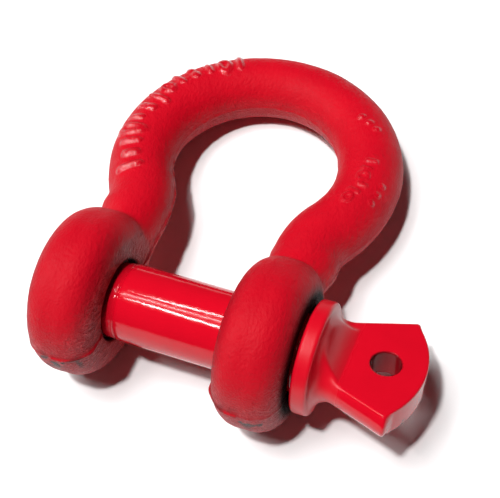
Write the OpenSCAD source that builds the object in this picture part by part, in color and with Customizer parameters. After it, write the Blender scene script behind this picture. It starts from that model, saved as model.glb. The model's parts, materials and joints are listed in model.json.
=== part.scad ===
// Bow shackle with a screw pin, lying on its ears and crown.
// The pin's axis is X, with the pin's head towards +X. The bow opens away from the pin towards +Y.
// The origin is on the pin's axis, halfway between the ears. Everything is in millimetres.

/* [Body] */
// Clear width between the ears
jaw_w = 34; // [30:0.5:38]
// Clear length from the pin to the inside of the crown
inside_l = 74; // [68:0.5:84]
// Diameter of the round bar round the bow
bar_d = 19; // [17:0.5:20]
// How much thinner the bar is at the waist and the limbs
waist_less = 0.4; // [0.3:0.1:1]
// Radius of the bow, to the middle of the bar
bow_r = 35; // [33:0.5:38]
// Radius with which each limb turns back into its ear, to the middle of the bar
waist_r = 20; // [16:0.5:22]
// Diameter of the ears
ear_d = 47; // [44:0.5:52]
// Thickness of each ear above the bar's diameter
ear_extra = 0.4; // [0.2:0.1:1]
// Rounding of the ears' edges
ear_round = 8; // [5:0.5:8]
// Widest height of the shoulder between a limb and its ear
shoulder_h = 34; // [28:1:38]

/* [Holes in the ears] */
// Diameter of the plain hole, on the head's side
plain_hole_d = 24; // [23:0.1:25]
// Diameter of the tapped hole, over the thread's roots
tapped_hole_d = 22.3; // [22.2:0.05:22.6]
// Chamfer at the mouths of both holes
hole_chamfer = 0.9; // [0.4:0.1:1.5]

/* [Pin] */
// Diameter of the shank and of the thread
pin_d = 22; // [21:0.1:22]
// Diameter of the neck between the shank and the thread
relief_d = 20.8; // [19:0.1:20.8]
// Length of the neck between the shank and the thread
relief_w = 4; // [3:0.5:6]
// Length of shank that the neck takes from the jaw
relief_show = 2.6; // [0:0.1:3]
// How far the pin's tip stands out of the tapped ear
tip_out = 0.5; // [0:0.5:4]
// Chamfer at the pin's tip
tip_chamfer = 1.6; // [0.5:0.1:2.5]

/* [Pin head] */
// Gap between the collar and its ear
collar_gap = 1.2; // [0.4:0.1:1.4]
// Diameter of the collar
collar_d = 31; // [28:0.5:36]
// Thickness of the collar
collar_t = 4.5; // [3:0.1:5]
// Rounding of the collar's rim
collar_round = 0.8; // [0.2:0.1:1.2]
// Diameter of the neck behind the collar
neck_d = 20.4; // [19:0.1:22]
// Hollow radius from the collar to the neck
neck_fillet = 3; // [1:0.5:3.5]
// Distance from the pin's middle to the widest part of the eye tab
tab_wide_at = 62.5; // [60:0.5:66]
// Widest part of the eye tab
tab_w = 33.6; // [30:0.2:36]
// Width of the eye tab where it leaves the collar
tab_root_w = 18.4; // [16:0.2:20]
// How far the tab's middle lies off the pin's axis, towards its far edge
tab_shift = 1.3; // [0:0.1:1.5]
// Distance from the pin's middle to the end of the eye tab
tab_end_at = 69; // [67:0.5:76]
// Thickness of the eye tab
tab_t = 8.4; // [6:0.2:11]
// Distance from the pin's middle to the start of the flats
flat_from = 48.8; // [48:0.1:50]
// Hollow radius from the neck to the flats
scallop_r = 12; // [10:0.5:14]
// Slope with which the hollow meets the flats
scallop_a = 30; // [20:1:35]
// Distance from the pin's middle to the eye hole
eye_at = 58.3; // [56:0.5:60]
// Diameter of the eye hole
eye_d = 8.2; // [6:0.1:10]
// Turn of the eye tab from level, its far edge down
eye_turn = 18; // [0:1:40]

/* [Hidden] */
$fn = 96;

red = [0.84, 0.05, 0.13];
dark_red = [0.66, 0.03, 0.1];
past = 1;                                   // how far cutters and joints run past a face
shoulder_sink = 0.3;                        // how far the shoulder's edges lie inside the bar
limb_sink = 0.1;                            // how far the straight limb lies inside its arc

bar_r = bar_d / 2;
limb_r = (bar_d - waist_less) / 2;
ear_r = ear_d / 2;
pin_r = pin_d / 2;
ear_t = bar_d + ear_extra;
ear_x = jaw_w / 2 + ear_t / 2;              // middle of each ear, and of the limb above it
ear_out = jaw_w / 2 + ear_t;                // outer face of each ear
bow_y = inside_l + pin_r + bar_r - bow_r;   // centre of the bow

// The bow and the smaller arc below it meet where the bow has turned this far past its widest part
waist_a = acos((ear_x + waist_r) / (bow_r + waist_r));
waist_x = ear_x + waist_r;
waist_y = bow_y - (bow_r + waist_r) * sin(waist_a);

// Lying on a level surface, the thin crown drops until it touches beside the fat ears
lie_a = asin((ear_r - bar_r) / (bow_y + bow_r));
bury_a = 2;                                 // how far the thinner arc runs on inside the bow's end

shank_end = -jaw_w / 2 + relief_show;       // the shank's left end, in the jaw
thread_from = shank_end - relief_w;
tip_x = -ear_out - tip_out;
collar_x = ear_out + collar_gap;            // the collar's inner face
neck_x = collar_x + collar_t;
tab_bulge = tab_end_at - tab_wide_at;
tab_end_r = (pow(tab_bulge, 2) + pow(tab_w / 2, 2)) / (2 * tab_bulge);

// Turns a shape drawn along Z so that it runs along X
module along_x(x = 0) translate([x, 0, 0]) rotate([0, 90, 0]) children();

// Half an ear's outline beside its axis: a bar with round outer corners
module ear_outline() {
    square([ear_r - ear_round, ear_t]);
    translate([0, ear_round]) square([ear_r, ear_t - 2 * ear_round]);
    for (y = [ear_round, ear_t - ear_round])
        translate([ear_r - ear_round, y]) circle(r = ear_round);
}

module ear() along_x(ear_x - ear_t / 2) rotate_extrude() intersection() {
    ear_outline();
    square([ear_r, ear_t]);
}

// The straight stretch from the ear up to the arc
module limb() translate([ear_x, 0, 0]) rotate([-90, 0, 0])
    cylinder(h = waist_y + past, r = limb_r - limb_sink);

// The small arc by which the limb leaves the ear outwards
module waist() translate([waist_x, waist_y, 0])
    rotate_extrude(angle = waist_a + bury_a, start = 180 - waist_a - bury_a)
        translate([waist_r, 0]) circle(r = limb_r);

// The forged shoulder that widens from the bar to the ear
module shoulder() intersection() {
    translate([ear_x, bar_r, 0]) rotate([-90, 0, 0])
        cylinder(h = waist_y - bar_r, r1 = shoulder_h / 2, r2 = limb_r - shoulder_sink);
    translate([ear_x - limb_r + shoulder_sink, 0, -ear_r])
        cube([2 * (limb_r - shoulder_sink), waist_y, ear_d]);
}

module side() {
    ear();
    limb();
    waist();
    shoulder();
}

module crown() translate([0, bow_y, 0]) rotate_extrude(angle = 180 + 2 * waist_a, start = -waist_a)
    translate([bow_r, 0]) circle(r = bar_r);

// A through hole along X between two faces, with a chamfer at each mouth
module ear_hole(d, x) {
    along_x(x - past) cylinder(h = ear_t + 2 * past, d = d);
    along_x(x - past) cylinder(h = hole_chamfer + past, r1 = d / 2 + hole_chamfer + past, r2 = d / 2);
    along_x(x + ear_t - hole_chamfer)
        cylinder(h = hole_chamfer + past, r1 = d / 2, r2 = d / 2 + hole_chamfer + past);
}

module bow_body() color(red) rotate([-lie_a, 0, 0]) difference() {
    union() {
        crown();
        side();
        mirror([1, 0, 0]) side();
    }
    ear_hole(plain_hole_d, jaw_w / 2);
    ear_hole(tapped_hole_d, -ear_out);
}

// The plain part of the pin, from the collar to the neck before the thread
module pin_shank() color(dark_red) {
    along_x(shank_end) cylinder(h = collar_x - shank_end, r = pin_r);
    along_x(thread_from) cylinder(h = relief_w, d = relief_d);
}

// The threaded end, as the cylinder over its crests
module pin_thread() color("silver") {
    along_x(tip_x + tip_chamfer) cylinder(h = thread_from - tip_x - tip_chamfer, r = pin_r);
    along_x(tip_x) cylinder(h = tip_chamfer, r1 = pin_r - tip_chamfer, r2 = pin_r);
}

module collar() along_x(collar_x) rotate_extrude() difference() {
    union() {
        square([collar_d / 2 - collar_round, collar_t]);
        translate([0, collar_round]) square([collar_d / 2, collar_t - 2 * collar_round]);
        for (y = [collar_round, collar_t - collar_round])
            translate([collar_d / 2 - collar_round, y]) circle(r = collar_round);
        translate([0, collar_t / 2]) square([neck_d / 2 + neck_fillet, collar_t / 2 + neck_fillet]);
    }
    translate([neck_d / 2 + neck_fillet, collar_t + neck_fillet]) circle(r = neck_fillet);
}

// The eye tab's outline seen from above: straight sides that spread, closed by a flat arc
module tab_outline() translate([0, tab_shift]) intersection() {
    polygon([[neck_x, -tab_root_w / 2], [tab_wide_at, -tab_w / 2], [tab_end_at, -tab_w / 2],
             [tab_end_at, tab_w / 2], [tab_wide_at, tab_w / 2], [neck_x, tab_root_w / 2]]);
    translate([tab_end_at - tab_end_r, 0]) circle(r = tab_end_r);
}

// What is milled away above the tab: the space over the flat, and a hollow up to the round neck
module scallop() {
    intersection() {
        translate([flat_from + scallop_r * sin(scallop_a), 0, tab_t / 2 + scallop_r * cos(scallop_a)])
            rotate([90, 0, 0]) cylinder(h = 2 * collar_d, r = scallop_r, center = true);
        translate([flat_from - scallop_r, -collar_d, tab_t / 2])
            cube([scallop_r + past, 2 * collar_d, collar_d]);
    }
    translate([flat_from, -collar_d, tab_t / 2]) cube([tab_end_at, 2 * collar_d, collar_d]);
}

module pin_head() color(red) rotate([-eye_turn, 0, 0]) difference() {
    union() {
        collar();
        along_x(collar_x) cylinder(h = flat_from - collar_x, d = neck_d);
        translate([0, 0, -tab_t / 2]) linear_extrude(tab_t) tab_outline();
    }
    scallop();
    mirror([0, 0, 1]) scallop();
    translate([eye_at, tab_shift, 0]) cylinder(h = collar_d, d = eye_d, center = true);
}

bow_body();
pin_shank();
pin_head();
pin_thread();
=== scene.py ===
import json
import math

import bpy
import numpy as np
from mathutils import Matrix, Vector


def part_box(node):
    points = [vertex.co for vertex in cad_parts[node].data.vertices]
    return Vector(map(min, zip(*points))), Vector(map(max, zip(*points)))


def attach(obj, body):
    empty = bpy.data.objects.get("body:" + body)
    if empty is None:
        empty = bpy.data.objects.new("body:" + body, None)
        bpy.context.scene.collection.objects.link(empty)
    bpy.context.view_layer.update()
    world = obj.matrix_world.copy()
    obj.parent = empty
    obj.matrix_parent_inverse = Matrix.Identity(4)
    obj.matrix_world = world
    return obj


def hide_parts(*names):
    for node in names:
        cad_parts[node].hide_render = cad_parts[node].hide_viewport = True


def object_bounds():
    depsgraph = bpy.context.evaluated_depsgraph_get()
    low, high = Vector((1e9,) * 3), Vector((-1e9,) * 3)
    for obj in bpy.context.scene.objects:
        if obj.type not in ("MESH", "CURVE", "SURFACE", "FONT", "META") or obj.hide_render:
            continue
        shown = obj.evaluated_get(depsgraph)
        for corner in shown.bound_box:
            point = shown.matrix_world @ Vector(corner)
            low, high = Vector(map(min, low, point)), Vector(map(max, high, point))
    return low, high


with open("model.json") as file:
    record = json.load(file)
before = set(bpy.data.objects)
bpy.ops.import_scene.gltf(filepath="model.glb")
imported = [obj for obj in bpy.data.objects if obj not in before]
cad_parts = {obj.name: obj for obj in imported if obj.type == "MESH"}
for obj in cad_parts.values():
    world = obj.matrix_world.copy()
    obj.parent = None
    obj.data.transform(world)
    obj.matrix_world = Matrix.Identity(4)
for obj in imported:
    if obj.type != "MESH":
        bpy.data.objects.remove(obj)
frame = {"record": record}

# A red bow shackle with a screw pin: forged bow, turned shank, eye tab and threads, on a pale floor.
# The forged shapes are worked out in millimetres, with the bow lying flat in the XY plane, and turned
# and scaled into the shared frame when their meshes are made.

cad_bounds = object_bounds()
MM = 0.001

# ---- Sizes that the frame gives, in millimetres ------------------------------------------------

def box_mm(node_name):
    return [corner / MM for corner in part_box(node_name)]


mounts = {m["name"]: m for m in frame["record"]["mounts"]}
eye_hole = mounts["eye_hole"]
shank_low = box_mm("pin_shank")[0]
thread_low, thread_high = box_mm("pin_thread")
head_low, head_high = box_mm("pin_head")
body_low, body_high = box_mm("bow_body")

PIN_R = mounts["load_pin"]["dims"]["r_mm"]
EYE_X = eye_hole["pos_m"][0] / MM
EYE_R = eye_hole["dims"]["r_mm"]
TAB_T = eye_hole["dims"]["length_mm"]
EYE_TURN = -math.atan2(eye_hole["axis"][1], eye_hole["axis"][2])
TAB_SHIFT = math.hypot(*eye_hole["pos_m"][1:]) / MM
NECK_FROM_X = shank_low.x
COLLAR_X = head_low.x
TAB_END_X = head_high.x
TIP_X = thread_low.x
FLOOR_Z = body_low.z

# ---- Forging ------------------------------------------------------------------------------------

BAR_R = 9.5                      # of the CAD bar
EAR_R = -body_low.z              # the ears are the fattest part, and stand on the floor
EAR_T = 19.4
EAR_ROUND = 8.0
JAW_HALF = 17.0
EAR_X = JAW_HALF + EAR_T / 2     # middle of each ear
EAR_OUT = JAW_HALF + EAR_T       # outer face of each ear
BOW_R = body_high.x - BAR_R      # radius of the bow, to the middle of the bar
BOW_Y = 59.5                     # centre of the bow
WAIST_R = 20.0                   # radius with which each limb turns back into its ear

# The bow lies on its ears and its thinner crown, so it is tilted by a few degrees
LIE = math.asin((EAR_R - BAR_R) / (BOW_Y + BOW_R))

# The bow and the smaller arc below it meet where the bow has turned WAIST_A past its widest part
WAIST_X = EAR_X + WAIST_R
WAIST_A = math.acos(WAIST_X / (BOW_R + WAIST_R))
WAIST_Y = BOW_Y - (BOW_R + WAIST_R) * math.sin(WAIST_A)

# Lengths along the bar, from the crown's top to the end of each arc
CROWN_END = BOW_R * (math.pi / 2 + WAIST_A)
WAIST_END = CROWN_END + WAIST_R * WAIST_A

CROWN_BAR_R = 9.45               # the forging's own bar is thinnest at the crown and fattest by the ears
SIDE_BAR_R = 9.75
WAIST_BAR_R = 9.7
EAR_BAR_R = 9.9

SHOULDER_DOWN = 16.5             # half height of the shoulder at the ear, on the side that faces down
SHOULDER_UP = 13.0               # and on the side that faces up
SHOULDER_TOP = 8.2               # its half height at the waist, inside the bar
SHOULDER_SINK = 0.4              # how far its sides lie inside the bar at the ear
SHOULDER_TAPER = 0.8             # how much further they lie inside it at the waist
SHOULDER_FILLET = 2.0
EAR_FILLET = 1.4

PINCH = 2.0                      # how much the limb narrows on its outer side just above the ear
PINCH_FROM_Y = 29.0
PINCH_BLEND = 9.0

PLAIN_HOLE_R = 12.0
TAPPED_HOLE_R = 11.15
HOLE_CHAMFER = 0.9
HOLE_EDGE = 0.5                  # rounding of the holes' edges

FLASH_HALF = 0.6                 # half width of the trimmed flash
FLASH_OUT_H = 0.18               # its height round the outside of the bow
FLASH_IN_H = 0.22                # its height round the inside
FLASH_LIMB_H = 0.30              # how much higher it gets along the inside of the limbs
FLASH_LIMB_BLEND = 15.0

FORGING_PITCH = 0.56             # size of the forging's mesh cells
HEAD_PITCH = 0.36                # size of the pin head's mesh cells


# ---- Small maths helpers ------------------------------------------------------------------------

def smooth_step(x, low, high):
    t = np.clip((x - low) / (high - low), 0, 1)
    return t * t * (3 - 2 * t)


def smooth_min(a, b, k):
    """The union of two shapes, with a fillet of about k between them."""
    h = np.clip(0.5 + 0.5 * (b - a) / k, 0, 1)
    return b + (a - b) * h - k * h * (1 - h)


def smooth_max(a, b, k):
    """What two shapes share, with the edge rounded by about k."""
    return -smooth_min(-a, -b, k)


def round_disc(across, along, radius, half, rounding):
    """A disc with round edges. across is measured from its axis, and along from its middle plane."""
    rim = across - (radius - rounding)
    face = np.abs(along) - (half - rounding)
    return np.hypot(np.maximum(rim, 0), np.maximum(face, 0)) + np.minimum(np.maximum(rim, face), 0) - rounding


def lattice_noise(points, size, seed):
    """Smooth noise from -1 to 1, with bumps about size across."""
    count = 32                   # after which the noise repeats
    cells = np.random.default_rng(seed).uniform(-1, 1, (count, count, count)).astype(np.float32)
    place = points / size
    corner = np.floor(place).astype(int)
    t = place - corner
    t = t * t * (3 - 2 * t)
    total = 0
    for i in (0, 1):
        for j in (0, 1):
            for k in (0, 1):
                weight = np.abs(1 - i - t[:, 0]) * np.abs(1 - j - t[:, 1]) * np.abs(1 - k - t[:, 2])
                at = tuple((corner + (i, j, k)).T % count)
                total = total + weight * cells[at]
    return total


# ---- Turning a distance function into a mesh ----------------------------------------------------

def surface_net(distance, low, high, pitch):
    """Points and quads of the surface where distance is 0, with a point in each cell that it crosses."""
    counts = np.ceil((np.array(high) - low) / pitch).astype(int) + 1
    grid = [low[i] + pitch * np.arange(counts[i]) for i in range(3)]
    values = np.empty(counts, np.float32)
    plane = np.stack(np.meshgrid(grid[1], grid[2], indexing="ij"), -1).reshape(-1, 2).astype(np.float32)
    slab = 12                    # planes measured at a time, to save memory
    for first in range(0, counts[0], slab):
        xs = grid[0][first:first + slab].astype(np.float32)
        points = np.concatenate([np.repeat(xs, len(plane))[:, None], np.tile(plane, (len(xs), 1))], 1)
        values[first:first + slab] = distance(points).reshape(len(xs), counts[1], counts[2])

    inside = values < 0
    corners = [(i, j, k) for i in (0, 1) for j in (0, 1) for k in (0, 1)]
    spans = [[slice(o, counts[axis] - 1 + o) for axis, o in enumerate(corner)] for corner in corners]
    held = sum(inside[tuple(span)].astype(np.int8) for span in spans)
    cells = np.argwhere((held > 0) & (held < 8))
    number = np.full(counts - 1, -1, int)
    number[tuple(cells.T)] = np.arange(len(cells))

    total, crossings = np.zeros((len(cells), 3)), np.zeros(len(cells))
    for axis in range(3):
        others = [a for a in range(3) if a != axis]
        for u in (0, 1):
            for v in (0, 1):
                start = cells.copy()
                start[:, others[0]] += u
                start[:, others[1]] += v
                end = start.copy()
                end[:, axis] += 1
                a, b = values[tuple(start.T)], values[tuple(end.T)]
                crossed = (a < 0) != (b < 0)
                place = start.astype(float)
                place[:, axis] += np.where(crossed, a / np.where(crossed, a - b, 1), 0)
                total[crossed] += place[crossed]
                crossings += crossed
    points = np.array(low) + pitch * total / crossings[:, None]

    quads = []
    for axis in range(3):
        u, v = [a for a in range(3) if a != axis]
        near, far = [slice(None)] * 3, [slice(None)] * 3
        near[axis], far[axis] = slice(0, -1), slice(1, None)
        flips = inside[tuple(near)] != inside[tuple(far)]
        edges = np.argwhere(flips)
        edges = edges[(edges[:, u] > 0) & (edges[:, v] > 0)]
        around = []
        for du, dv in ((-1, -1), (0, -1), (0, 0), (-1, 0)):
            cell = edges.copy()
            cell[:, u] += du
            cell[:, v] += dv
            around.append(number[tuple(cell.T)])
        ring = np.stack(around, 1)
        backward = inside[tuple(edges.T)] == (axis == 1)
        ring[backward] = ring[backward][:, ::-1]
        quads.append(ring)
    return points, np.concatenate(quads)


def slope(distance, points, step=0.05):
    """The distance function's gradient."""
    steps = np.eye(3) * step
    return np.stack([distance(points + s) - distance(points - s) for s in steps], 1) / (2 * step)


def settle(distance, points, rounds=3, reach=0.4):
    """Moves points onto the surface."""
    for _ in range(rounds):
        g = slope(distance, points)
        move = distance(points)[:, None] * g / np.maximum((g * g).sum(1), 0.05)[:, None]
        points = points - np.clip(move, -reach, reach)
    return points


def normals_of(distance, points):
    g = slope(distance, points)
    return g / np.maximum(np.linalg.norm(g, axis=1), 1e-6)[:, None]


def make_piece(name, points_mm, faces, turn_x, masks=None):
    """A smooth mesh object from points in millimetres, turned about the pin's axis."""
    c, s = math.cos(turn_x), math.sin(turn_x)
    x, y, z = points_mm.T
    placed = np.stack([x, y * c - z * s, y * s + z * c], 1) * MM
    mesh = bpy.data.meshes.new(name)
    mesh.from_pydata(placed.tolist(), [], [list(map(int, f)) for f in faces])
    mesh.validate()
    mesh.polygons.foreach_set("use_smooth", [True] * len(mesh.polygons))
    for key, values in (masks or {}).items():
        layer = mesh.attributes.new(key, "FLOAT", "POINT")
        layer.data.foreach_set("value", np.asarray(values, np.float32))
    piece = bpy.data.objects.new(name, mesh)
    bpy.context.scene.collection.objects.link(piece)
    return piece


# ---- The forged bow -----------------------------------------------------------------------------

def bar_place(p):
    """Length along the bar from the crown's top, and offset outwards from its middle line."""
    x, y = np.abs(p[:, 0]), p[:, 1]
    turn = np.arctan2(y - BOW_Y, x)
    waist_turn = np.arctan2(y - WAIST_Y, WAIST_X - x)
    crown = turn >= -WAIST_A
    waist = ~crown & (y >= WAIST_Y)
    along = np.where(waist, CROWN_END + WAIST_R * (WAIST_A - waist_turn), WAIST_END + WAIST_Y - y)
    along = np.where(crown, BOW_R * (math.pi / 2 - turn), along)
    out = np.where(waist, WAIST_R - np.hypot(WAIST_X - x, y - WAIST_Y), x - EAR_X)
    out = np.where(crown, np.hypot(x, y - BOW_Y) - BOW_R, out)
    return along, out


def bar_radius(along):
    grow = smooth_step(along, 0, BOW_R * math.pi / 2)
    shrink = smooth_step(along, BOW_R * math.pi / 2, CROWN_END)
    swell = smooth_step(along, CROWN_END + WAIST_R * WAIST_A / 2, WAIST_END + WAIST_Y / 2)
    return (CROWN_BAR_R + (SIDE_BAR_R - CROWN_BAR_R) * grow + (WAIST_BAR_R - SIDE_BAR_R) * shrink
            + (EAR_BAR_R - WAIST_BAR_R) * swell)


def bar_distance(p):
    along, out = bar_place(p)
    around = np.hypot(out, p[:, 2]) - bar_radius(along)
    return np.where(p[:, 1] > 0, around, np.maximum(around, -p[:, 1]))


def ear_distance(p):
    """A disc about the pin's axis with fat round edges."""
    return round_disc(np.hypot(p[:, 1], p[:, 2]), np.abs(p[:, 0]) - EAR_X, EAR_R, EAR_T / 2, EAR_ROUND)


def shoulder_distance(p):
    """The flared web between limb and ear, taller than wide."""
    top_round = 4.0
    rise = np.clip((p[:, 1] - BAR_R) / (WAIST_Y - BAR_R), 0, 1)
    foot = np.where(p[:, 2] > 0, SHOULDER_UP, SHOULDER_DOWN)
    half = SHOULDER_TOP + (foot - SHOULDER_TOP) * (1 - rise) ** 2
    across = (np.abs(p[:, 0]) - EAR_X) / (WAIST_BAR_R - SHOULDER_SINK - SHOULDER_TAPER * rise)
    body = (np.sqrt(across ** 2 + (p[:, 2] / half) ** 2) - 1) * WAIST_BAR_R
    return np.maximum(smooth_max(body, p[:, 1] - WAIST_Y, top_round), -p[:, 1])


def hole_distance(p, radius):
    """Negative inside a chamfered hole through an ear."""
    from_axis = np.hypot(p[:, 1], p[:, 2])
    from_face = EAR_T / 2 - np.abs(np.abs(p[:, 0]) - EAR_X)
    mouth = (from_axis + from_face - radius - HOLE_CHAMFER) * math.sqrt(0.5)
    return np.minimum(from_axis - radius, mouth)


# Raised marks in plain rows, none of them a letter. Each mark is
# (degrees round the bow, degrees round the bar, half length, half width, kind)
MARK_H = 0.75                    # height of a broad mark
MARK_EDGE = 1.0                  # rounding of a mark's edge
MARK_FILLET = 0.7
RING_R = 1.6
RING_LINE = 0.75                 # the ring's half line, as a share of the mark's half width
PAIR_APART = 0.6                 # from the middle to each of a pair, as a share of the half length
PAIR_HALF = 0.5                  # half length of each of a pair
PAIR_WIDTH = 1.3                 # its half width, as a share of the mark's
LEFT_ROW = [(118 + 7.8 * i, 17 - 6 * math.sin(1.3 * i), 3.2 - 0.7 * (i % 3), 0.95,
             ("bar", "ring", "bar", "pair")[i % 4]) for i in range(13)]
RIGHT_ROW = [(7 - 5.2 * i, 4 * math.cos(2.1 * i), 1.2 - 0.3 * (i % 2), 0.60,
              ("bar", "bar", "ring")[i % 3]) for i in range(6)]
RIGHT_DOTS = [(38 - 5 * i, -5 + 9 * i, 0.3, 0.75, "bar") for i in range(3)]
SMALL_ROW = [(-14 + 5 * i, 36, 0.2, 0.6, "bar") for i in range(3)]
MARKS = LEFT_ROW + RIGHT_ROW + RIGHT_DOTS + SMALL_ROW


def mark_distance(p, around_bar):
    """The raised marks on the crown, each standing proud of the bar."""
    turn = np.degrees(np.arctan2(p[:, 1] - BOW_Y, p[:, 0]))
    out = np.hypot(p[:, 0], p[:, 1] - BOW_Y) - BOW_R
    lean = np.degrees(np.arctan2(out, p[:, 2]))
    far_away = 50.0
    best = np.full(len(p), far_away)
    for turn_at, lean_at, length, width, kind in MARKS:
        along = np.radians((turn - turn_at + 180) % 360 - 180) * (BOW_R + out)
        across = np.radians(lean - lean_at) * BAR_R
        if kind == "bar":
            flat = np.hypot(along, np.maximum(np.abs(across) - length, 0)) - width
        elif kind == "ring":
            oval = np.hypot(along, across * RING_R / (length + 0.3))
            flat = np.abs(oval - RING_R) - width * RING_LINE
        else:
            past_end = np.maximum(np.abs(np.abs(across) - length * PAIR_APART) - PAIR_HALF, 0)
            flat = np.hypot(along, past_end) - width * PAIR_WIDTH
        height = MARK_H * min(1, 0.35 + width * 0.7)
        best = np.minimum(best, smooth_max(flat, around_bar - height, MARK_EDGE))
    return best


def flash_height(p):
    """The trimmed flash, which stands as a low line all round the parting plane."""
    along, out = bar_place(p)
    limb = smooth_step(along, CROWN_END - FLASH_LIMB_BLEND, CROWN_END)
    waves = 1 + 0.3 * np.sin(along * 0.9)
    inside = (FLASH_IN_H + FLASH_LIMB_H * limb) * waves
    return np.where(out < 0, inside, FLASH_OUT_H) * np.exp(-(p[:, 2] / FLASH_HALF) ** 2)


def forging_distance(p):
    bar = bar_distance(p)
    body = smooth_min(bar, shoulder_distance(p), SHOULDER_FILLET)
    outer = smooth_step(np.abs(p[:, 0]) - EAR_X, -2.0, 6.0)
    body = body + PINCH * outer * smooth_step(PINCH_FROM_Y - p[:, 1], 0, PINCH_BLEND)
    body = smooth_min(body, ear_distance(p), EAR_FILLET)
    close = np.abs(bar) < MARK_H * 4
    if close.any():
        marks = mark_distance(p[close], bar[close])
        body[close] = smooth_min(body[close], marks, MARK_FILLET)
    body = body - flash_height(p)
    hole = np.where(p[:, 0] > 0, hole_distance(p, PLAIN_HOLE_R), hole_distance(p, TAPPED_HOLE_R))
    return smooth_max(body, -hole, HOLE_EDGE)


def build_forging():
    edge = 2.0                   # room round the shape
    low = np.array([-body_high.x - edge, -EAR_R - edge, -EAR_R - edge])
    high = np.array([body_high.x + edge, BOW_Y + BOW_R + BAR_R + edge, EAR_R + edge])
    points, quads = surface_net(forging_distance, low, high, FORGING_PITCH)
    points = settle(forging_distance, points)
    n = normals_of(forging_distance, points)

    # masks from 0 to 1: grain is coarse forging, shade is painted shade over the ears, darkest on their
    # faces, and web is painted light and painted floor reflection between a limb and its ear
    from_axis = np.hypot(points[:, 1], points[:, 2])
    by_ear = smooth_step(WAIST_Y + 6 - points[:, 1], 0, 12)
    low_side = smooth_step(-n[:, 2], -0.55, 0.15)
    inner = smooth_step(-bar_place(points)[1], 2, 8) * smooth_step(-n[:, 2], -0.6, 0.2)
    grain = np.clip(0.15 + 0.9 * by_ear * low_side + 0.5 * inner, 0, 1)
    beside = by_ear * smooth_step(np.abs(n[:, 0]), 0.45, 0.95) * smooth_step(-points[:, 1], -12, -2)
    # painted light and painted floor reflection go on the web between a limb and its ear
    web = smooth_step(points[:, 1], 8, 16) * by_ear
    painted_shade = np.clip((0.25 * by_ear + 0.75 * beside) * (1 - web), 0, 1)

    # the dents and the forging's roughness, away from the holes
    dents = 0.08 * lattice_noise(points, 11.0, 3) + 0.035 * lattice_noise(points, 5.0, 4)
    rough = 0.09 * lattice_noise(points, 2.1, 5) * grain + 0.035 * lattice_noise(points, 1.6, 8)
    on_hole = from_axis < PLAIN_HOLE_R + 1.2
    points = points + n * np.where(on_hole, 0, dents + rough)[:, None]

    # paint chips along the seam under the ears
    seam_z, seam_half = -2.5, 3.5
    seam = np.exp(-((points[:, 2] - seam_z) / seam_half) ** 2)
    under_ear = smooth_step(-points[:, 1], EAR_R - 5, EAR_R - 1)
    patches = smooth_step(lattice_noise(points, 3.2, 6) + 0.6 * lattice_noise(points, 1.3, 7), 0.2, 0.4)
    chips = under_ear * seam * patches

    # bare is black for bare metal with painted shade in the holes' mouths, and painted shadow behind the
    # collar
    marks = smooth_step(-mark_distance(points, bar_distance(points)), -0.9, 0.1)
    mouth = HOLE_CHAMFER + np.where(points[:, 0] > 0, PLAIN_HOLE_R, TAPPED_HOLE_R)
    collar_shadow = (smooth_step(points[:, 0], EAR_OUT - 3, EAR_OUT - 1)
                 * smooth_step(-from_axis, -COLLAR_R - 4.5, -COLLAR_R - 0.5))
    bare_and_shade = np.maximum(smooth_step(mouth - from_axis, -0.1, 0.3), collar_shadow)
    masks = {"grain": grain, "chips": chips, "marks": marks, "bare_and_shade": bare_and_shade, "painted_shade": painted_shade,
             "web": web * low_side}
    return make_piece("forged_bow", points, quads, -LIE, masks)


# ---- The pin ------------------------------------------------------------------------------------

COLLAR_R = 15.5
COLLAR_T = 4.5
COLLAR_ROUND = 0.9
NECK_R = 10.2
FLARE = 5.5                      # fillet from the collar to the neck and the tab
EDGE = 0.6                       # rounding of the tab's edges
TAB_WIDE_X = 62.5
TAB_HALF = 16.8
TAB_ROOT_HALF = 9.2
FLAT_FROM = 48.8
SCALLOP_R = 12.0
SCALLOP_A = math.radians(30)
SIDE_BULGE = 0.10                # how round the tab's sides are
TAB_BULGE = TAB_END_X - TAB_WIDE_X
TAB_END_R = (TAB_BULGE ** 2 + TAB_HALF ** 2) / (2 * TAB_BULGE)


def head_distance(p):
    x, y, z = p.T
    from_axis = np.hypot(y, z)
    off = y - TAB_SHIFT
    collar = round_disc(from_axis, x - COLLAR_X - COLLAR_T / 2, COLLAR_R, COLLAR_T / 2, COLLAR_ROUND)

    neck = np.maximum(np.maximum(from_axis - NECK_R, x - FLAT_FROM), COLLAR_X - x)
    spread = (TAB_HALF - TAB_ROOT_HALF) / (TAB_WIDE_X - COLLAR_X - COLLAR_T)
    side = (np.abs(off) - TAB_ROOT_HALF - spread * (x - COLLAR_X - COLLAR_T)) / math.hypot(1, spread)
    end = np.hypot(x - (TAB_END_X - TAB_END_R), off) - TAB_END_R
    outline = smooth_max(side, end, EDGE)
    # the sides are left as forged, rounder than the milled flats
    outline = outline + SIDE_BULGE * (z ** 2 - (TAB_T / 2) ** 2) * smooth_step(side - end, -3, 0)
    tab = np.maximum(smooth_max(outline, np.abs(z) - TAB_T / 2, EDGE), COLLAR_X + COLLAR_T / 2 - x)
    body = smooth_min(neck, tab, 1.5)
    whole = smooth_min(body, collar, FLARE)

    # the space above each flat is milled away, with a hollow up to the round neck
    above_flat = np.abs(z) - TAB_T / 2
    hollow = SCALLOP_R - np.hypot(x - FLAT_FROM - SCALLOP_R * math.sin(SCALLOP_A),
                                  above_flat - SCALLOP_R * math.cos(SCALLOP_A))
    no_cut = -5
    cut = np.where(above_flat < SCALLOP_R, np.where(x < FLAT_FROM, hollow, above_flat), no_cut)
    whole = np.maximum(smooth_max(whole, cut, 0.5), COLLAR_X - x)
    eye = EYE_R - np.hypot(x - EYE_X, off)
    return smooth_max(whole, eye, 0.3)


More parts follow.
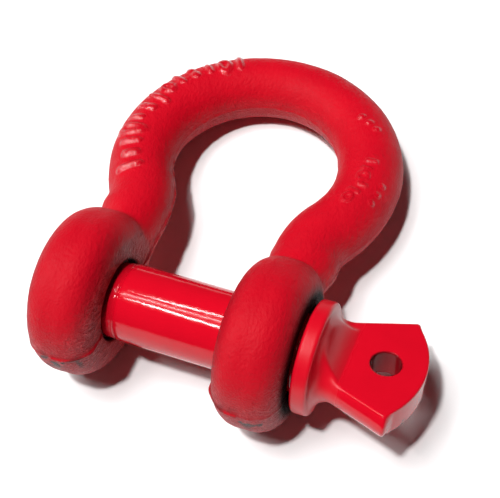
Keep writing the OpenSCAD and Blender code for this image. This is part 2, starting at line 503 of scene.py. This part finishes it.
def build_head():
    edge = 1.5                   # room round the shape
    reach = TAB_HALF + TAB_SHIFT + SIDE_BULGE * (TAB_T / 2) ** 2 + edge
    low = np.array([COLLAR_X - edge, -reach, -COLLAR_R - edge])
    high = np.array([TAB_END_X + edge, reach, COLLAR_R + edge])
    points, quads = surface_net(head_distance, low, high, HEAD_PITCH)
    points = settle(head_distance, points)
    n = normals_of(head_distance, points)
    points = points + n * (0.05 * lattice_noise(points, 7.0, 11))[:, None]

    # masks from 0 to 1: chips at the tab's end, low on its -Y side, hole for painted shade inside the eye,
    # and satin on the collar and the neck, whose paint is less glossy
    end_face = smooth_step(points[:, 0], TAB_WIDE_X - 2, TAB_WIDE_X + 2) * smooth_step(-points[:, 1], 8, 11)
    patches = smooth_step(lattice_noise(points, 1.6, 12) + 0.5 * lattice_noise(points, 0.8, 13), 0.35, 0.5)
    chips = end_face * patches * smooth_step(-points[:, 2], 0.3, 2)
    from_eye = np.hypot(points[:, 0] - EYE_X, points[:, 1] - TAB_SHIFT)
    hole = smooth_step(-from_eye, -EYE_R - 0.25, -EYE_R - 0.05)
    satin = smooth_step(-points[:, 0], -FLAT_FROM - 3, -FLAT_FROM + 1)
    masks = {"chips": chips, "hole": hole, "satin": satin}
    return make_piece("pin_eye_head", points, quads, EYE_TURN, masks)


def lathe(name, profile, segments, radius_at=None):
    """A closed solid turned about the pin's axis from (x, radius) points, the first and last on the axis."""
    angles = np.linspace(0, 2 * math.pi, segments, endpoint=False)
    rings = profile[1:-1]
    points = [(profile[0][0], 0.0, 0.0)]
    for x, r in rings:
        radii = np.full(segments, r) if radius_at is None else np.minimum(radius_at(x, angles), r)
        points += list(zip(np.full(segments, x), radii * np.cos(angles), radii * np.sin(angles)))
    points.append((profile[-1][0], 0.0, 0.0))
    last = 1 + (len(rings) - 1) * segments
    faces = []
    for k in range(segments):
        nxt = (k + 1) % segments
        faces.append((0, 1 + k, 1 + nxt))
        faces.append((len(points) - 1, last + nxt, last + k))
        for i in range(len(rings) - 1):
            a, b = 1 + i * segments, 1 + (i + 1) * segments
            faces.append((a + k, b + k, b + nxt, a + nxt))
    return make_piece(name, np.array(points), faces, 0.0)


RELIEF_R = 10.75                 # of the neck between the shank and the thread
SHOULDER_X = NECK_FROM_X + 4.0   # where the shank starts
BURY = 0.4                       # how far turned pieces run on inside each other


def build_shank():
    # the neck, with a round start and a fine groove at the foot of the shoulder
    profile = [(NECK_FROM_X, 0.0)]
    profile += [(NECK_FROM_X + x, RELIEF_R - down) for x, down in ((0, 0.6), (0.3, 0.15), (0.8, 0))]
    profile += [(SHOULDER_X - x, RELIEF_R - down) for x, down in ((0.9, 0), (0.5, 0.12), (0.1, -0.02))]
    # the shoulder's round edge, and the plain shank
    bead = 0.55
    start_x = SHOULDER_X + bead
    profile += [(start_x + bead * math.cos(a), PIN_R - bead + bead * math.sin(a))
                for a in np.linspace(math.pi, math.pi / 2, 6)]
    end_x = COLLAR_X + BURY
    profile += [(x, PIN_R) for x in np.linspace(start_x, end_x, 25)[1:]]
    profile += [(end_x, 0.0)]
    return lathe("pin_shank_bar", profile, 160)


# ---- Threads ------------------------------------------------------------------------------------

THREAD_PITCH = 2.5
THREAD_DEPTH = 1.45
THREAD_GAP = 0.12
THREAD_STEP = THREAD_PITCH / 12
THREAD_SEGMENTS = 96
THREAD_FLANK = 2.9               # how steep the flanks are
THREAD_FLAT = 0.35               # how flat the roots are
CREST_R = PIN_R - 0.05
SLEEVE_R = TAPPED_HOLE_R + 0.6


def thread_radius(x, angles, crest_r):
    """The radius of a right-handed thread about +X."""
    t = (x / THREAD_PITCH - angles / (2 * math.pi)) % 1
    rise = np.clip((0.5 - np.abs(t - 0.5)) * THREAD_FLANK - THREAD_FLAT, 0, 1)
    return crest_r - THREAD_DEPTH + THREAD_DEPTH * rise


def build_thread():
    """The pin's own thread, from a chamfered tip to a runout in the neck."""
    chamfer = 1.7
    runout = NECK_FROM_X - 1.0
    runout_drop = CREST_R - RELIEF_R + 0.5
    end_x = thread_high.x + BURY
    xs = np.linspace(TIP_X, end_x, int((end_x - TIP_X) / THREAD_STEP))
    limits = np.minimum(CREST_R, CREST_R - chamfer + xs - TIP_X)
    limits = np.minimum(limits, CREST_R - runout_drop * smooth_step(xs, runout - 1, runout))
    profile = [(TIP_X, 0.0)] + list(zip(xs, limits)) + [(end_x, 0.0)]
    return lathe("pin_thread_helix", profile, THREAD_SEGMENTS, lambda x, a: thread_radius(x, a, CREST_R))


def build_ear_thread():
    """The thread inside the tapped ear, as a sleeve sunk into the forging."""
    segments = THREAD_SEGMENTS
    angles = np.linspace(0, 2 * math.pi, segments, endpoint=False)
    low, high = -EAR_OUT + 1.4, -JAW_HALF - 2.0
    xs = np.linspace(low, high, int((high - low) / THREAD_STEP))
    outlines = []
    for x in xs:
        mouth = TAPPED_HOLE_R + 0.1 - min(x - low, high - x)
        outlines.append((x, np.maximum(thread_radius(x, angles, CREST_R + THREAD_GAP), mouth)))
    outlines += [(high, SLEEVE_R), (low, SLEEVE_R)]
    points = []
    for x, r in outlines:
        points += list(zip(np.full(segments, x), r * np.cos(angles), r * np.sin(angles)))
    rings = len(outlines)
    faces = []
    for i in range(rings):
        a, b = i * segments, (i + 1) % rings * segments
        for k in range(segments):
            nxt = (k + 1) % segments
            faces.append((a + k, a + nxt, b + nxt, b + k))
    return make_piece("tapped_ear_thread", np.array(points), faces, 0.0)


# ---- Materials ----------------------------------------------------------------------------------

def new_material(name):
    material = bpy.data.materials.new(name)
    material.use_nodes = True
    tree = material.node_tree
    shader = tree.nodes["Principled BSDF"]
    return material, tree, shader


def node(tree, kind, inputs=None, **settings):
    made = tree.nodes.new(kind)
    for key, value in settings.items():
        setattr(made, key, value)
    for key, value in (inputs or {}).items():
        if isinstance(value, bpy.types.NodeSocket):
            tree.links.new(value, made.inputs[key])
        else:
            made.inputs[key].default_value = value
    return made


def noise(tree, size_mm, detail=2.0, roughness=0.5, vector=None):
    """Noise whose bumps are about size_mm across, in the piece's own space."""
    if vector is None:
        vector = node(tree, "ShaderNodeTexCoord").outputs["Object"]
    inputs = {"Vector": vector, "Scale": 1 / (size_mm * MM), "Detail": detail, "Roughness": roughness}
    return node(tree, "ShaderNodeTexNoise", inputs).outputs["Fac"]


def ramp(tree, value, low, high, out_low=0.0, out_high=1.0):
    inputs = {"Value": value, "From Min": low, "From Max": high, "To Min": out_low, "To Max": out_high}
    return node(tree, "ShaderNodeMapRange", inputs).outputs["Result"]


def mask(tree, name):
    return node(tree, "ShaderNodeAttribute", attribute_name=name).outputs["Fac"]


def mix_colour(tree, share, a, b):
    """Colour a where share is 0, and b where it is 1. The Mix node's colour sockets are known by number."""
    return node(tree, "ShaderNodeMix", {0: share, 6: a, 7: b}, data_type="RGBA").outputs[2]


def maths(tree, operation, a, b):
    return node(tree, "ShaderNodeMath", {0: a, 1: b}, operation=operation).outputs[0]


def product(tree, a, b):
    return maths(tree, "MULTIPLY", a, b)


def length_of(tree, vector):
    return node(tree, "ShaderNodeVectorMath", {0: vector}, operation="LENGTH").outputs["Value"]


def bump(tree, height, depth_mm, normal=None):
    inputs = {"Height": height, "Distance": depth_mm * MM, "Strength": 1.0}
    if normal is not None:
        inputs["Normal"] = normal
    return node(tree, "ShaderNodeBump", inputs).outputs["Normal"]


RED = (0.490, 0.0018, 0.0110, 1)
DEEP_RED = (0.400, 0.0015, 0.0095, 1)
SHEEN_STREAK_RED = (0.780, 0.0800, 0.0900, 1)
GLOSS_RED = (0.520, 0.0020, 0.0120, 1)
GLOSS_DEEP_RED = (0.460, 0.0015, 0.0100, 1)
PAINTED_LIGHT_RED = (0.760, 0.0040, 0.0150, 1)
SHADED_RED = (0.330, 0.0015, 0.0085, 1)
HOLE_SHADE_RED = (0.170, 0.0030, 0.0060, 1)
BARE_STEEL = (0.020, 0.008, 0.008, 1)
BARE_AND_SHADE_BLACK = (0.006, 0.003, 0.003, 1)
THREAD_RED = (0.300, 0.0040, 0.0120, 1)
WORN_STEEL = (0.220, 0.200, 0.190, 1)
FLOOR_NEAR = (0.820, 0.820, 0.820, 1)
FLOOR_SHADED_AWAY = (0.550, 0.550, 0.550, 1)


def forging_fibres(tree):
    """Noise drawn out along the forging's grain."""
    place = node(tree, "ShaderNodeTexCoord").outputs["Object"]
    stretched = node(tree, "ShaderNodeMapping", {"Vector": place, "Scale": (1.0, 0.4, 1.0),
                                                 "Rotation": (0, 0, 0.5)})
    return noise(tree, 0.7, 3.0, 0.65, stretched.outputs["Vector"])


def body_paint():
    """Satin red over rough forged steel: orange peel everywhere, and forging grain where its mask is."""
    material, tree, shader = new_material("forged_red_paint")
    grain, chips, marks = mask(tree, "grain"), mask(tree, "chips"), mask(tree, "marks")
    bare_and_shade, painted_shade, web = mask(tree, "bare_and_shade"), mask(tree, "painted_shade"), mask(tree, "web")

    # cloudy red, with a painted pale sheen along the fibres where the sides face down, dark specks and chips
    clouds = ramp(tree, noise(tree, 9.0, 3.0), 0.35, 0.65)
    fibres = forging_fibres(tree)
    sheen_streaks = product(tree, ramp(tree, fibres, 0.52, 0.62), ramp(tree, grain, 0.40, 1.0, 0.0, 0.5))
    specks = product(tree, ramp(tree, noise(tree, 0.8, 3.0, 0.7), 0.70, 0.76), product(tree, grain, 0.5))
    colour = mix_colour(tree, product(tree, clouds, 0.4), RED, DEEP_RED)
    # painted shade over the ears, darkest on their faces
    colour = mix_colour(tree, painted_shade, colour, SHADED_RED)
    # painted light and painted floor reflection on the webs
    colour = mix_colour(tree, web, colour, PAINTED_LIGHT_RED)
    # painted pale sheen along the fibres, standing in for the floor's reflection
    colour = mix_colour(tree, sheen_streaks, colour, SHEEN_STREAK_RED)
    colour = mix_colour(tree, maths(tree, "MAXIMUM", chips, specks), colour, BARE_STEEL)
    # black for bare metal with painted shade in the holes' mouths, and painted shadow behind the collar
    colour = mix_colour(tree, bare_and_shade, colour, BARE_AND_SHADE_BLACK)
    tree.links.new(colour, shader.inputs["Base Color"])

    # the raised marks and the grain are rubbed shinier than the rest, and the black of bare metal and painted
    # shade is dull
    rough = ramp(tree, noise(tree, 4.0, 2.0), 0.3, 0.7, 0.52, 0.62)
    rough = maths(tree, "SUBTRACT", rough, product(tree, marks, 0.42))
    rough = maths(tree, "SUBTRACT", rough, product(tree, grain, 0.10))
    tree.links.new(rough, shader.inputs["Roughness"])
    shiny = ramp(tree, maths(tree, "MAXIMUM", marks, product(tree, grain, 0.35)), 0.0, 1.0, 0.11, 0.9)
    shine = product(tree, shiny, ramp(tree, bare_and_shade, 0.0, 1.0, 1.0, 0.1))
    tree.links.new(shine, shader.inputs["Specular IOR Level"])

    peel = bump(tree, noise(tree, 1.3, 2.5, 0.6), 0.24)
    forged = bump(tree, product(tree, ramp(tree, fibres, 0.3, 0.7), grain), 0.7, peel)
    tree.links.new(forged, shader.inputs["Normal"])
    return material


def pin_paint():
    """Thick glossy red on machined steel, with slow waves and a fine ripple."""
    material, tree, shader = new_material("glossy_red_paint")
    chips, hole, satin = mask(tree, "chips"), mask(tree, "hole"), mask(tree, "satin")
    clouds = ramp(tree, noise(tree, 7.0, 2.0), 0.35, 0.65)
    colour = mix_colour(tree, product(tree, clouds, 0.3), GLOSS_RED, GLOSS_DEEP_RED)
    colour = mix_colour(tree, chips, colour, BARE_STEEL)
    # painted shade inside the eye
    colour = mix_colour(tree, hole, colour, HOLE_SHADE_RED)
    tree.links.new(colour, shader.inputs["Base Color"])
    rough = ramp(tree, noise(tree, 3.0, 2.0), 0.3, 0.7, 0.07, 0.12)
    rough = maths(tree, "ADD", rough, product(tree, satin, 0.26))
    tree.links.new(rough, shader.inputs["Roughness"])
    tree.links.new(ramp(tree, hole, 0.0, 1.0, 0.42, 0.12), shader.inputs["Specular IOR Level"])
    waves = bump(tree, noise(tree, 3.2, 1.5), 0.03)
    tree.links.new(bump(tree, noise(tree, 0.9, 2.0), 0.006, waves), shader.inputs["Normal"])
    return material


def thread_metal():
    """Red paint in the thread's roots, rubbed through to dark oily steel on its crests."""
    material, tree, shader = new_material("worn_thread")
    place = node(tree, "ShaderNodeTexCoord").outputs["Object"]
    across = node(tree, "ShaderNodeVectorMath", {0: place, 1: (0, 1, 1)}, operation="MULTIPLY")
    from_axis = length_of(tree, across.outputs["Vector"])
    crest = ramp(tree, from_axis, (PIN_R - 0.8) * MM, (PIN_R - 0.2) * MM)
    worn = product(tree, crest, ramp(tree, noise(tree, 2.0, 3.0), 0.30, 0.55))
    colour = mix_colour(tree, worn, THREAD_RED, WORN_STEEL)
    tree.links.new(colour, shader.inputs["Base Color"])
    tree.links.new(worn, shader.inputs["Metallic"])
    tree.links.new(ramp(tree, noise(tree, 0.7, 2.0), 0.3, 0.7, 0.25, 0.42), shader.inputs["Roughness"])
    tree.links.new(bump(tree, noise(tree, 0.5, 2.0), 0.02), shader.inputs["Normal"])
    return material


def floor_white():
    """White round the object, and greyer away from it as painted shade."""
    material, tree, shader = new_material("floor_white")
    place = node(tree, "ShaderNodeTexCoord").outputs["Object"]
    away = length_of(tree, place)
    clouds = ramp(tree, noise(tree, 40.0), 0.3, 0.7, 0.0, 0.04)
    painted_shade = maths(tree, "ADD", ramp(tree, away, 0.15, 0.50), clouds)
    colour = mix_colour(tree, painted_shade, FLOOR_NEAR, FLOOR_SHADED_AWAY)
    tree.links.new(colour, shader.inputs["Base Color"])
    shader.inputs["Roughness"].default_value = 0.8
    shader.inputs["Specular IOR Level"].default_value = 0.1
    return material


# ---- Camera, floor and light --------------------------------------------------------------------

CAMERA_AZIMUTH = math.radians(-60.1)      # of the camera seen from the object, from +X towards +Y
CAMERA_ELEVATION = math.radians(58.68)
CAMERA_ROLL = math.radians(-10.9)
CAMERA_DISTANCE = 0.307
AIM_OFFSET = Vector((-0.0031, -0.0096, -0.0078))
LENS = 76.23


def direction(azimuth, elevation):
    return Vector((math.cos(elevation) * math.cos(azimuth), math.cos(elevation) * math.sin(azimuth),
                   math.sin(elevation)))


def build_camera():
    low, high = (Vector(corner) for corner in cad_bounds)
    back = direction(CAMERA_AZIMUTH, CAMERA_ELEVATION)
    level = Vector((0, 0, 1)).cross(back).normalized()
    up = back.cross(level)
    right = level * math.cos(CAMERA_ROLL) + up * math.sin(CAMERA_ROLL)
    up = back.cross(right)
    camera = bpy.data.objects.new("camera", bpy.data.cameras.new("camera"))
    bpy.context.scene.collection.objects.link(camera)
    camera.data.lens = LENS
    camera.data.clip_start = 0.01
    turn = Matrix((right, up, back)).transposed().to_4x4()
    camera.matrix_world = Matrix.Translation((low + high) / 2 + AIM_OFFSET + back * CAMERA_DISTANCE) @ turn
    bpy.context.scene.camera = camera


def build_floor(material):
    half = 2.0
    corners = [(x * half, y * half, FLOOR_Z * MM) for x, y in ((-1, -1), (1, -1), (1, 1), (-1, 1))]
    mesh = bpy.data.meshes.new("floor")
    mesh.from_pydata(corners, [], [(0, 1, 2, 3)])
    mesh.materials.append(material)
    floor = bpy.data.objects.new("floor", mesh)
    bpy.context.scene.collection.objects.link(floor)


LAMP_DISTANCE = 2.0

# Lamps seen from the object: x, y, width and depth as direction cosines, and radiance
KEY = (-0.108, -0.215, 0.06, 0.06, 690.0)
HALO = (-0.290, -0.050, 0.34, 0.46, 11.8)
SIDE_STRIP = (-0.690, -0.263, 0.10, 0.26, 70.0)

# The frame of light strips, as direction cosines
FRAME_LEFT, FRAME_RIGHT = -0.365, -0.215
FRAME_NEAR, FRAME_FAR = -0.292, 0.165


def lamp_at(name, x, y, width, depth, radiance):
    """A rectangular lamp that looks at the object."""
    data = bpy.data.lights.new(name, "AREA")
    data.shape = "RECTANGLE"
    data.size, data.size_y = width * LAMP_DISTANCE, depth * LAMP_DISTANCE
    data.energy = radiance * data.size * data.size_y * math.pi
    lamp = bpy.data.objects.new(name, data)
    bpy.context.scene.collection.objects.link(lamp)
    lamp.location = Vector((x, y, math.sqrt(1 - x * x - y * y))) * LAMP_DISTANCE
    lamp.rotation_euler = (-lamp.location).to_track_quat("-Z", "Y").to_euler()
    return lamp


def build_lights():
    """A strong lamp, its wide halo, and a faint frame of light strips that glossy paint mirrors."""
    key, halo = lamp_at("key", *KEY), lamp_at("halo", *HALO)
    key.visible_glossy = halo.visible_glossy = False
    middle_x, middle_y = (FRAME_LEFT + FRAME_RIGHT) / 2, (FRAME_NEAR + FRAME_FAR) / 2
    width, depth = FRAME_RIGHT - FRAME_LEFT, FRAME_FAR - FRAME_NEAR
    lamp_at("strip_near", middle_x, FRAME_NEAR, width, 0.050, 60.0)
    lamp_at("strip_far", middle_x, FRAME_FAR, width, 0.030, 55.0)
    lamp_at("strip_left", FRAME_LEFT, middle_y, 0.012, depth, 45.0)
    side_strip = lamp_at("strip_side", *SIDE_STRIP)
    side_strip.visible_diffuse = False
    lamp_at("panel", middle_x, middle_y, width, depth, 3.2)
    world = bpy.data.worlds.new("dim_room")
    world.use_nodes = True
    background = world.node_tree.nodes["Background"]
    background.inputs["Color"].default_value = (1.0, 0.98, 0.97, 1)
    background.inputs["Strength"].default_value = 0.03
    bpy.context.scene.world = world
    bpy.context.scene.view_settings.view_transform = "Standard"


# ---- Putting it together ------------------------------------------------------------------------

def stand_for(piece, body, slot, material, *nodes):
    piece.data.materials.append(material)
    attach(piece, body)
    if nodes:
        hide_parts(*nodes)


build_camera()
body_red, pin_red, worn_thread = body_paint(), pin_paint(), thread_metal()
stand_for(build_forging(), "bow", "body_paint", body_red, "bow_body")
stand_for(build_ear_thread(), "bow", "thread_steel", worn_thread)
stand_for(build_shank(), "pin_travel_body", "pin_paint", pin_red, "pin_shank")
stand_for(build_head(), "pin_screw_body", "pin_paint", pin_red, "pin_head")
stand_for(build_thread(), "pin_screw_body", "thread_steel", worn_thread, "pin_thread")
build_floor(floor_white())
build_lights()
